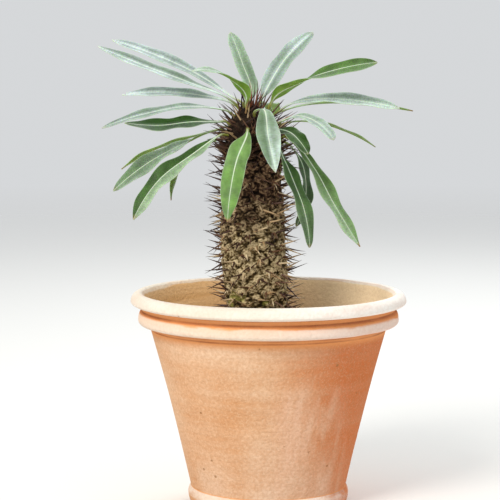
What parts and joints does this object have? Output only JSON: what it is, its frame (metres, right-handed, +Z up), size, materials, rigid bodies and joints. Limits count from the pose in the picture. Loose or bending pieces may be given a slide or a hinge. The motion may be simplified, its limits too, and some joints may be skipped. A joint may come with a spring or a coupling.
{
  "type": "potted madagascar palm",
  "caption": "Potted pachypodium: a thick upright stem set with paired spines, a crown of long waved strap leaves, in a round terracotta pot with rolled beads",
  "frame": {"origin": "on the surface that the pot stands on, at the middle of the footprint of the whole plant and pot, 0 mm from the stem's axis and 12 mm to the left of the pot's axis", "axes": "+Z up along the stem, which is also the longest extent; -Y is the front that the picture shows; +X is to the right in it"},
  "size_m": [0.3233, 0.28, 0.4785],
  "materials": {
    "terracotta": "unglazed, dry, with a pale lime bloom and fine pits",
    "potting_grit": "dark loose potting grit",
    "bark": "matt grey-brown bark with low tubercles and hard dark spines",
    "foliage": "smooth leathery leaf with a pale midrib and a soft sheen"
  },
  "bodies": {
    "root": {"pot": "terracotta", "soil": "potting_grit", "trunk": "bark", "leaf_upright_left": "foliage", "leaf_upright_right": "foliage", "leaf_right_rising": "foliage", "leaf_right_level": "foliage", "leaf_right_behind": "foliage", "leaf_right_edge_on": "foliage", "leaf_right_short": "foliage", "leaf_front_right_curled": "foliage", "leaf_right_hanging": "foliage", "leaf_inner_hanging": "foliage", "leaf_inner_spoon": "foliage", "leaf_front_pale": "foliage", "leaf_front_left": "foliage", "leaf_left_low": "foliage", "leaf_left_hooked": "foliage", "leaf_left_twisted": "foliage", "leaf_left_thin": "foliage", "leaf_left_boat": "foliage", "leaf_left_arched": "foliage", "leaf_left_straight": "foliage", "leaf_left_rising": "foliage", "leaf_left_top": "foliage", "leaf_left_short": "foliage", "leaf_back_high": "foliage", "leaf_back_left": "foliage", "leaf_back_right": "foliage", "leaf_back_low": "foliage"}
  },
  "joints": []
}
